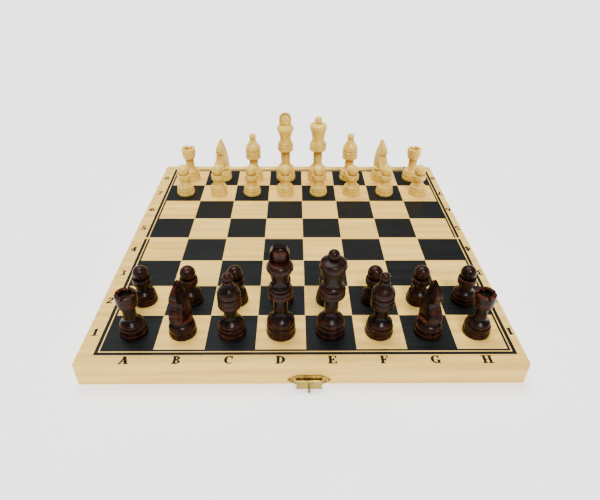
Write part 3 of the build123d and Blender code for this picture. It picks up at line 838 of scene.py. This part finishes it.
@dataclass(frozen=True)
class Knight:
    """Knight: a sawn and carved horse's head on a turned stem, looking along -Y."""

    stem: Stem = Stem(9.3, 3.6, 8.9, 4.2, 8.2, 4.6, 6.7, 0.6)
    blank_radius: float = 7.7
    ears_height: float = 28.4
    foot_width: float = 13.8
    middle_width: float = 8.8
    top_width: float = 6.0
    edge: float = 0.8
    side_view: tuple[tuple[float, float], ...] = (
        (-1.0, 0.0), (1.0, 0.0), (1.02, 0.12), (0.99, 0.28), (0.9, 0.42), (0.78, 0.58),
        (0.62, 0.74), (0.51, 0.88), (0.42, 1.0), (0.08, 1.0), (-0.04, 0.95), (-0.18, 0.91),
        (-0.36, 0.86), (-0.52, 0.79), (-0.65, 0.71), (-0.73, 0.63), (-0.72, 0.56),
        (-0.62, 0.52), (-0.45, 0.51), (-0.3, 0.5), (-0.25, 0.45), (-0.3, 0.38),
        (-0.41, 0.31), (-0.54, 0.24), (-0.7, 0.16), (-0.87, 0.07),
    )
    blank_view: tuple[tuple[float, float], ...] = (
        (1.02, 0.3), (0.97, 0.42), (0.9, 0.55), (0.82, 0.66), (0.72, 0.78), (0.62, 0.9), (0.54, 1.01),
    )
    mane_grooves: int = 6
    mane_first: float = 0.2
    mane_spread: float = 0.66
    mane_cut: tuple[float, float] = (2.6, 0.6)
    mane_tilt: float = 35.0
    chest_grooves: int = 4
    chest_cut: tuple[float, float] = (1.8, 0.5)
    chest_tilt: float = 30.0
    ear_gap: tuple[float, float] = (1.1, 5.0)
    mouth_cut: tuple[float, float] = (3.4, 0.6)
    mouth_tilt: float = -14.0
    eye_radius: float = 0.9
    eye_out: float = 3.4

    def build(self) -> bpy.types.Object:
        """Turns the stem and joins the carved head to it."""
        path = self.stem.outline()
        path.line(self.blank_radius, 0)
        path.bow(self.blank_radius, 1.2, 0.2)
        top = path.points[-1][1]
        stem = path.turn("knight")
        head = self.head()
        head.data.transform(Matrix.Translation(Vector((0, 0, top - 0.05)) * MM))
        return join([stem, head])

    def at(self, out: float, up: float) -> Vector:
        """A point of the side view in metres, from shares of the blank's radius and height."""
        return Vector((0, self.blank_radius * out, self.ears_height * up)) * MM

    def head(self) -> bpy.types.Object:
        """Saws the head from its side view, tapers it and carves mane, mouth, eyes and chest."""
        outline = [self.at(out, up) for out, up in self.side_view]
        piece = trace("knight_head", outline)
        bpy.ops.mesh.select_all(action="SELECT")
        bpy.ops.mesh.edge_face_add()
        depth = 2 * self.blank_radius * MM
        bpy.ops.transform.translate(value=(-depth / 2, 0, 0))
        bpy.ops.mesh.extrude_region_move(TRANSFORM_OT_translate={"value": (depth, 0, 0)})
        heal(piece)
        self.saw_sides(piece)
        keep_common(piece, self.blank())
        self.carve_lines(piece)
        apply(
            piece, "BEVEL", width=self.edge * MM, segments=3, limit_method="ANGLE",
            angle_limit=math.radians(48),
        )
        return piece

    def blank(self) -> bpy.types.Object:
        """Turns the round, domed blank that the head is sawn from."""
        path = Outline(self.blank_radius * 1.02)
        for out, up in self.blank_view:
            path.points.append((self.blank_radius * out, self.ears_height * up))
        return path.turn("knight_blank", 48)

    def saw_sides(self, piece: bpy.types.Object) -> None:
        """Cuts the two cheeks of the wedge with sloping planes.

        Args:
            piece: the head, as thick as its blank.
        """
        knee = self.ears_height * 0.4
        cuts = (
            (self.foot_width / 2, 0.0, self.middle_width / 2, knee),
            (self.middle_width / 2, knee, self.top_width / 2, self.ears_height),
        )
        pick(piece)
        for out_low, low, out_high, high in cuts:
            for side in (-1, 1):
                run = Vector((out_high - out_low, 0, high - low)).normalized()
                normal = Vector((side * run.z, 0, -run.x))
                place = Vector((side * out_low, 0, low)) * MM
                bpy.ops.object.mode_set(mode="EDIT")
                bpy.ops.mesh.select_all(action="SELECT")
                bpy.ops.mesh.bisect(
                    plane_co=place, plane_no=normal, clear_outer=True, use_fill=True
                )
                bpy.ops.object.mode_set(mode="OBJECT")
        heal(piece)

    def carve_lines(self, piece: bpy.types.Object) -> None:
        """Cuts the ears apart and the lines of mane, mouth and chest.

        Args:
            piece: the sawn head.
        """
        radius, ears = self.blank_radius, self.ears_height
        gap_width, gap_depth = self.ear_gap
        carve(piece, block(Vector((gap_width, radius, gap_depth)), Vector((0, radius * 0.18, ears))))
        mouth = Vector((0, -radius * 0.78, ears * 0.6))
        carve(piece, block(Vector((2 * radius, *self.mouth_cut)), mouth, (self.mouth_tilt, 0, 0)))
        for index in range(self.mane_grooves):
            share = self.mane_first + self.mane_spread * index / (self.mane_grooves - 1)
            back = radius * (1.02 - 0.72 * share**1.9)
            place = Vector((0, back, ears * share))
            carve(piece, block(Vector((2 * radius, *self.mane_cut)), place, (self.mane_tilt, 0, 0)))
        for index in range(self.chest_grooves):
            place = Vector((0, -radius * (0.42 + 0.16 * index), ears * (0.32 - 0.07 * index)))
            carve(piece, block(Vector((2 * radius, *self.chest_cut)), place, (self.chest_tilt, 0, 0)))
        for side in (-1, 1):
            self.carve_eye(piece, side)

    def carve_eye(self, piece: bpy.types.Object, side: int) -> None:
        """Sinks a drilled eye into one cheek.

        Args:
            piece: the sawn head.
            side: -1 or 1 along X.
        """
        deselect()
        place = Vector((side * self.eye_out, -self.blank_radius * 0.2, self.ears_height * 0.72)) * MM
        bpy.ops.mesh.primitive_uv_sphere_add(
            radius=self.eye_radius * MM, location=place, segments=16, ring_count=8
        )
        cutter = bpy.context.object
        bpy.ops.object.transform_apply(location=True, rotation=True, scale=True)
        carve(piece, cutter)


@dataclass
class Army:
    """Both colours of chessmen, one pattern of each kind copied onto its squares."""

    board_height: float = BOARD_TOP
    square: float = SQUARE
    print_shift: float = PRINT_SHIFT
    knight_turn: float = 22.0
    crease_angle: float = 38.0
    # gain of both the edge wear and the painted shade in grooves
    wear_and_shade_gain: float = 3.2
    row: tuple[tuple[str, Kind, int], ...] = (
        ("rook_a", Kind.ROOK, 0), ("knight_b", Kind.KNIGHT, -1), ("bishop_c", Kind.BISHOP, 0),
        ("king", Kind.KING, 0), ("queen", Kind.QUEEN, 0), ("bishop_f", Kind.BISHOP, 0),
        ("knight_g", Kind.KNIGHT, 1), ("rook_h", Kind.ROOK, 0),
    )
    patterns: dict[Kind, bpy.types.Object] = field(default_factory=dict)

    def build(self, finishes: dict[Colour, bpy.types.Material]) -> None:
        """Makes every chessman and dresses it.

        Args:
            finishes: the lacquer of each colour.
        """
        makers = {
            Kind.KING: King(), Kind.QUEEN: Queen(), Kind.BISHOP: Bishop(),
            Kind.KNIGHT: Knight(), Kind.ROOK: Rook(), Kind.PAWN: Pawn(),
        }
        for kind, maker in makers.items():
            pattern = maker.build()
            smooth(pattern, self.crease_angle)
            mark_wear_and_shade(pattern, self.wear_and_shade_gain)
            self.patterns[kind] = pattern
        for colour in Colour:
            self.line_up(colour, finishes[colour])
        for pattern in self.patterns.values():
            bpy.data.objects.remove(pattern)

    def line_up(self, colour: Colour, finish: bpy.types.Material) -> None:
        """Places one colour's sixteen chessmen.

        Args:
            colour: the army.
            finish: its lacquer.
        """
        back_rank, pawn_rank = (0, 1) if colour is Colour.DARK else (7, 6)
        for index, (name, kind, turn) in enumerate(self.row):
            node = f"{colour.value}_{name}"
            self.stand(kind, node, index, back_rank, turn * self.knight_turn, finish, colour)
            node = f"{colour.value}_pawn_{FILES[index]}"
            self.stand(Kind.PAWN, node, index, pawn_rank, 0.0, finish, colour)

    def stand(
        self, kind: Kind, node: str, index: int, rank: int, turn: float,
        finish: bpy.types.Material, colour: Colour,
    ) -> None:
        """Stands one chessman on its square in place of its CAD node.

        Args:
            kind: which pattern is copied.
            node: the CAD node that it stands for.
            index: its file, counted from 0.
            rank: its rank, counted from 0.
            turn: degrees about its axis.
            finish: its lacquer.
            colour: its army.
        """
        x = self.print_shift + (index - 3.5) * self.square
        y = (rank - 3.5) * self.square
        place = Vector((x, y, self.board_height))
        piece = copy_to(self.patterns[kind], f"turned_{node}", place, turn)
        piece.data.materials.clear()
        piece.data.materials.append(finish)
        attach(piece, f"{node}_body")
        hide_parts(node)
        colour.slot
        log.info("%s stands for %s", piece.name, node)


# Board


@dataclass(frozen=True)
class Bar:
    """Upright block of a character, in shares of its height, grown by the ink's spread."""

    left: float
    low: float
    right: float
    high: float

    def corners(self) -> list[tuple[float, float]]:
        """Corners of the stroke."""
        left, right = self.left - INK_SPREAD, self.right + INK_SPREAD
        low, high = self.low - INK_SPREAD / 2, self.high + INK_SPREAD / 2
        return [(left, low), (right, low), (right, high), (left, high)]


@dataclass(frozen=True)
class Slope:
    """Slanting stroke of a character, cut level at both ends."""

    foot: float
    low: float
    head: float
    high: float
    width: float

    def corners(self) -> list[tuple[float, float]]:
        """Corners of the stroke."""
        half = self.width / 2 + INK_SPREAD
        return [
            (self.foot - half, self.low), (self.foot + half, self.low),
            (self.head + half, self.high), (self.head - half, self.high),
        ]


@dataclass(frozen=True)
class Bowl:
    """Round stroke of a character, thick at its sides and thin above and below."""

    across: float
    up: float
    reach: float
    rise: float
    start: float
    end: float
    thick: float = 0.2
    thin: float = 0.08

    def corners(self) -> list[tuple[float, float]]:
        """Corners of the stroke."""
        steps = max(6, round(abs(self.end - self.start) / 18))
        angles = [math.radians(self.start + (self.end - self.start) * i / steps) for i in range(steps + 1)]
        reach, rise = self.reach + INK_SPREAD, self.rise
        outer = [(self.across + reach * math.cos(a), self.up + rise * math.sin(a)) for a in angles]
        reach, rise = self.reach - self.thick - INK_SPREAD, self.rise - self.thin - INK_SPREAD
        inner = [(self.across + reach * math.cos(a), self.up + rise * math.sin(a)) for a in angles]
        return outer + inner[::-1]


Stroke = Bar | Slope | Bowl
STEM_BARS = (Bar(0.11, 0, 0.33, 1), Bar(0.0, 0, 0.42, 0.07), Bar(0.0, 0.93, 0.42, 1))
CHARACTERS: dict[str, tuple[Stroke, ...]] = {
    "A": (
        Slope(0.13, 0, 0.46, 1, 0.1), Slope(0.76, 0, 0.43, 1, 0.26), Bar(0.2, 0.3, 0.7, 0.38),
        Bar(0.0, 0, 0.27, 0.07), Bar(0.54, 0, 0.94, 0.07),
    ),
    "B": (*STEM_BARS, Bowl(0.36, 0.74, 0.33, 0.26, -90, 90), Bowl(0.36, 0.27, 0.4, 0.27, -90, 90)),
    "C": (Bowl(0.45, 0.5, 0.45, 0.52, 48, 312, 0.24), Bar(0.7, 0.64, 0.77, 1.0)),
    "D": (*STEM_BARS, Bowl(0.36, 0.5, 0.52, 0.5, -90, 90, 0.24)),
    "E": (
        *STEM_BARS, Bar(0.3, 0, 0.8, 0.07), Bar(0.3, 0.93, 0.76, 1), Bar(0.3, 0.46, 0.55, 0.54),
        Bar(0.69, 0.7, 0.76, 1), Bar(0.73, 0, 0.8, 0.3), Bar(0.49, 0.35, 0.56, 0.65),
    ),
    "F": (
        *STEM_BARS, Bar(0.3, 0.93, 0.74, 1), Bar(0.3, 0.46, 0.53, 0.54),
        Bar(0.67, 0.7, 0.74, 1), Bar(0.47, 0.35, 0.54, 0.65),
    ),
    "G": (
        Bowl(0.45, 0.5, 0.45, 0.52, 48, 300, 0.24), Bar(0.7, 0.64, 0.77, 1.0),
        Bar(0.62, 0.03, 0.82, 0.42), Bar(0.52, 0.38, 0.92, 0.45),
    ),
    "H": (
        *STEM_BARS, Bar(0.67, 0, 0.89, 1), Bar(0.58, 0, 1.0, 0.07), Bar(0.58, 0.93, 1.0, 1),
        Bar(0.25, 0.46, 0.75, 0.54),
    ),
    "1": (Bar(0.2, 0, 0.42, 1), Bar(0.06, 0, 0.56, 0.07), Slope(0.08, 0.78, 0.36, 1, 0.12)),
    "2": (
        Bowl(0.34, 0.71, 0.33, 0.3, -25, 165, 0.22, 0.09), Slope(0.12, 0.08, 0.52, 0.62, 0.2),
        Bar(0.02, 0, 0.68, 0.16),
    ),
    "3": (
        Bowl(0.31, 0.75, 0.29, 0.26, -95, 155, 0.2, 0.09),
        Bowl(0.31, 0.28, 0.35, 0.29, -155, 95, 0.22, 0.09),
    ),
    "4": (
        Bar(0.36, 0, 0.57, 1), Slope(0.05, 0.28, 0.46, 1, 0.11), Bar(0.0, 0.24, 0.7, 0.35),
        Bar(0.26, 0, 0.67, 0.07),
    ),
    "5": (
        Bar(0.14, 0.85, 0.62, 1), Bar(0.14, 0.48, 0.22, 0.95),
        Bowl(0.3, 0.32, 0.35, 0.33, -150, 118, 0.22, 0.09),
    ),
    "6": (
        Bowl(0.36, 0.31, 0.34, 0.31, 0, 180), Bowl(0.36, 0.31, 0.34, 0.31, 180, 360),
        Bowl(0.56, 0.36, 0.54, 0.64, 92, 185, 0.22, 0.08),
    ),
    "7": (Bar(0.04, 0.84, 0.66, 1), Slope(0.24, 0, 0.58, 0.88, 0.19)),
    "8": (
        Bowl(0.35, 0.75, 0.28, 0.25, 0, 180, 0.15, 0.07),
        Bowl(0.35, 0.75, 0.28, 0.25, 180, 360, 0.15, 0.07),
        Bowl(0.35, 0.28, 0.34, 0.28, 0, 180), Bowl(0.35, 0.28, 0.34, 0.28, 180, 360),
    ),
}


@dataclass(frozen=True)
class Coordinates:
    """Letters and numbers printed around the playing squares."""

    height: float = 6.5
    surface: float = BOARD_TOP
    ink: float = INK_HEIGHT
    square: float = SQUARE
    print_shift: float = PRINT_SHIFT
    near_letters: float = -140.7
    left_numbers: float = -139.2
    right_numbers: float = 141.5

    def build(self, ink: bpy.types.Material) -> None:
        """Prints all four margins.

        Args:
            ink: the print's material.
        """
        for index, letter in enumerate(FILES.upper()):
            pattern = self.mark(letter)
            x = self.print_shift + (index - 3.5) * self.square
            self.print_mark(pattern, f"letter_{letter}_near", x, self.near_letters, 0, ink)
            self.print_mark(pattern, f"letter_{letter}_far", x, -self.near_letters, 180, ink)
            bpy.data.objects.remove(pattern)
        for index in range(8):
            pattern = self.mark(str(index + 1))
            y = (index - 3.5) * self.square
            self.print_mark(pattern, f"number_{index + 1}_left", self.left_numbers, y, 0, ink)
            self.print_mark(pattern, f"number_{index + 1}_right", self.right_numbers, y, 180, ink)
            bpy.data.objects.remove(pattern)

    def mark(self, text: str) -> bpy.types.Object:
        """Shapes one bold character with slab feet, its middle at the origin.

        Args:
            text: the character.

        Returns:
            The character as a thin solid mesh.
        """
        strokes = [stroke.corners() for stroke in CHARACTERS[text]]
        middle = (min(x for s in strokes for x, _ in s) + max(x for s in strokes for x, _ in s)) / 2
        parts = []
        for corners in strokes:
            chain = [Vector((x - middle, y - 0.5, 0)) * self.height * MM for x, y in corners]
            part = trace(f"character_{text}", chain)
            bpy.ops.mesh.select_all(action="SELECT")
            bpy.ops.mesh.edge_face_add()
            bpy.ops.mesh.extrude_region_move(
                TRANSFORM_OT_translate={"value": (0, 0, self.ink * MM)}
            )
            heal(part)
            parts.append(part)
        return join(parts)

    def print_mark(
        self, pattern: bpy.types.Object, name: str, x: float, y: float, turn: float,
        ink: bpy.types.Material,
    ) -> None:
        """Prints one character on the panel.

        Args:
            pattern: the character's mesh.
            name: the piece's name.
            x: its middle along the files.
            y: its middle along the ranks.
            turn: degrees about the upright axis.
            ink: the print's material.
        """
        piece = copy_to(pattern, name, Vector((x, y, self.surface)), turn)
        piece.data.materials.clear()
        piece.data.materials.append(ink)
        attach(piece, (Side.FRONT if y < 0 else Side.BACK).body)
        log.info("%s printed", name)


@dataclass(frozen=True)
class FrameLines:
    """The two lines printed around each half's squares, open at the fold."""

    surface: float = BOARD_TOP
    ink: float = INK_HEIGHT
    print_shift: float = PRINT_SHIFT
    fold_gap: float = 1.2
    lines: tuple[tuple[float, float], ...] = ((131.7, 133.3), (134.1, 136.5))

    def build(self, ink: bpy.types.Material) -> None:
        """Prints the lines of both halves.

        Args:
            ink: the print's material.
        """
        for side in Side:
            parts = []
            for inside, outside in self.lines:
                parts.extend(self.line(side, inside, outside))
            piece = join(parts)
            piece.name = f"{side.name.lower()}_frame_lines"
            piece.data.materials.append(ink)
            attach(piece, side.body)
            log.info("%s printed", piece.name)

    def line(self, side: Side, inside: float, outside: float) -> list[bpy.types.Object]:
        """Three strips of one line.

        Args:
            side: the half that carries it.
            inside: the line's inner edge, from the pattern's middle.
            outside: its outer edge.

        Returns:
            The strips.
        """
        width, middle = outside - inside, (inside + outside) / 2
        height = self.surface + self.ink / 2
        across = Vector((self.print_shift, side.value * middle, height))
        strips = [block(Vector((2 * outside, width, self.ink)), across)]
        length = inside - self.fold_gap
        y = side.value * (self.fold_gap + length / 2)
        for end in (-1, 1):
            place = Vector((self.print_shift + end * middle, y, height))
            strips.append(block(Vector((width, length, self.ink)), place))
        return strips


@dataclass(frozen=True)
class Trays:
    """Both wooden trays with their printed panels, hinges and latch, kept from the CAD."""

    wooden: tuple[str, ...] = ("panel", "outer_rail", "inner_rail", "left_rail", "right_rail")
    fastened: tuple[str, ...] = ("hinge_screws", "latch_nails")
    metal: tuple[str, ...] = (
        "left_hinge_front_leaf", "left_hinge_back_leaf", "left_hinge_pin",
        "right_hinge_front_leaf", "right_hinge_back_leaf", "right_hinge_pin",
        "hasp_plate", "hasp_flap", "hasp_pin", "catch_plate",
    )

    def dress(
        self, nodes: dict[str, bpy.types.Object], wood: bpy.types.Material,
        print_black: bpy.types.Material, brass: bpy.types.Material,
    ) -> None:
        """Gives every kept CAD node its finish.

        Args:
            nodes: the CAD nodes by name.
            wood: the board's wood.
            print_black: the black of squares and lines.
            brass: the metal of hinges and latch.
        """
        for half in ("front", "back"):
            for name in self.wooden:
                self.coat(nodes[f"{half}_{name}"], wood)
            self.coat(nodes[f"{half}_inlay"], print_black)
            for name in self.fastened:
                self.coat(nodes[f"{half}_{name}"], brass)
        for name in self.metal:
            self.coat(nodes[name], brass)

    def coat(self, node: bpy.types.Object, finish: bpy.types.Material) -> None:
        """Puts one finish in every material slot of a node."""
        if not node.material_slots:
            node.data.materials.append(finish)
        for slot in node.material_slots:
            slot.material = finish
        log.info("%s finished in %s", node.name, finish.name)


# Studio


@dataclass(frozen=True)
class Sun:
    """One light: where it comes from, its apparent size in degrees and its watts a square metre."""

    name: str
    source: tuple[float, float, float]
    spread: float
    power: float


@dataclass(frozen=True)
class Studio:
    """Paper floor, soft lights and the camera."""

    floor_height: float = -1.35
    floor_size: float = 9000.0
    lens: float = 29.98
    sensor: float = 36.0
    place: tuple[float, float, float] = (-5.2, -362.4, 255.6)
    forward: tuple[float, float, float] = (0.011668, 0.82298, -0.567951)
    right: tuple[float, float, float] = (0.999932, -0.009886, 0.006217)
    sky: float = 0.32
    suns: tuple[Sun, ...] = (
        Sun("overhead_light", (-0.15, 0.35, 1.0), 42.0, 3.7),
        Sun("front_light", (0.25, -1.0, 1.25), 14.0, 2.9),
    )

    def build(self) -> None:
        """Sets up everything around the chess set."""
        self.floor()
        self.world()
        for sun in self.suns:
            self.shine(sun)
        self.camera()

    def floor(self) -> None:
        """Lays the paper."""
        deselect()
        bpy.ops.mesh.primitive_plane_add(size=self.floor_size * MM, location=(0, 0, 0))
        paper = bpy.context.object
        paper.name = "paper_floor"
        paper.data.transform(Matrix.Translation((0, 0, self.floor_height * MM)))
        paper.data.materials.append(StudioPaper().build())

    def world(self) -> None:
        """Surrounds the set with even white light."""
        world = bpy.data.worlds.new("studio")
        world.use_nodes = True
        background = next(n for n in world.node_tree.nodes if n.type == "BACKGROUND")
        background.inputs["Color"].default_value = (1.0, 1.0, 1.0, 1.0)
        background.inputs["Strength"].default_value = self.sky
        bpy.context.scene.world = world

    def shine(self, sun: Sun) -> None:
        """Sets one soft, even light that reaches the whole floor.

        Args:
            sun: its direction, size and strength.
        """
        data = bpy.data.lights.new(sun.name, "SUN")
        data.angle = math.radians(sun.spread)
        data.energy = sun.power
        lamp = bpy.data.objects.new(sun.name, data)
        bpy.context.scene.collection.objects.link(lamp)
        source = Vector(sun.source)
        turn = (-source).to_track_quat("-Z", "Y").to_matrix().to_4x4()
        lamp.matrix_world = Matrix.Translation(source) @ turn

    def camera(self) -> None:
        """Places the camera where the photograph was taken from."""
        data = bpy.data.cameras.new("camera")
        data.lens = self.lens
        data.sensor_width = self.sensor
        data.clip_start = 0.01
        camera = bpy.data.objects.new("camera", data)
        bpy.context.scene.collection.objects.link(camera)
        forward = Vector(self.forward).normalized()
        right = Vector(self.right).normalized()
        up = right.cross(forward)
        turn = Matrix((right, up, -forward)).transposed().to_4x4()
        camera.matrix_world = Matrix.Translation(Vector(self.place) * MM) @ turn
        bpy.context.scene.camera = camera


def main() -> None:
    """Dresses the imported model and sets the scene."""
    logging.basicConfig(level=logging.INFO, format="%(message)s")
    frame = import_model()
    deselect()
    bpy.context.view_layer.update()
    wood, ink, brass = BoardWood().build(), BlackPaint().build(), Brass().build()
    lacquers = {Colour.DARK: DarkLacquer().build(), Colour.LIGHT: LightLacquer().build()}
    Trays().dress(frame["nodes"], wood, ink, brass)
    Army().build(lacquers)
    FrameLines().build(ink)
    Coordinates().build(ink)
    Studio().build()


if __name__ == "__main__":
    main()
